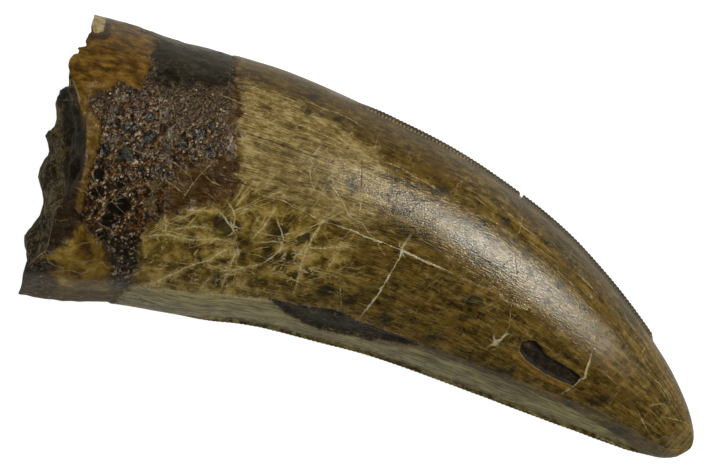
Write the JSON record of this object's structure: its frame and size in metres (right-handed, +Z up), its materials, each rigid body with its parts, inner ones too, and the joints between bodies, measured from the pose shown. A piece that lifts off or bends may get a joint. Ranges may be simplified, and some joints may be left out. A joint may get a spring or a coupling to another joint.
{
  "type": "fossil tyrannosaurus tooth",
  "caption": "Curved, tapering fossil tooth lying on its side, with two finely serrated cutting edges, a worn tip, flake scars and a jagged broken base.",
  "frame": {"origin": "middle of the bounding box, on the surface that the tooth lies on", "axes": "+X along the tooth from the broken base to the tip, +Y towards the convex front cutting edge, +Z up, out of the side that faces the viewer"},
  "size_m": [0.0906, 0.0393, 0.0244],
  "materials": {
    "fossil_enamel": "polished mottled olive-brown fossil enamel with pale cracks, darker towards the broken base"
  },
  "bodies": {
    "root": {"tooth": "fossil_enamel"}
  },
  "joints": []
}
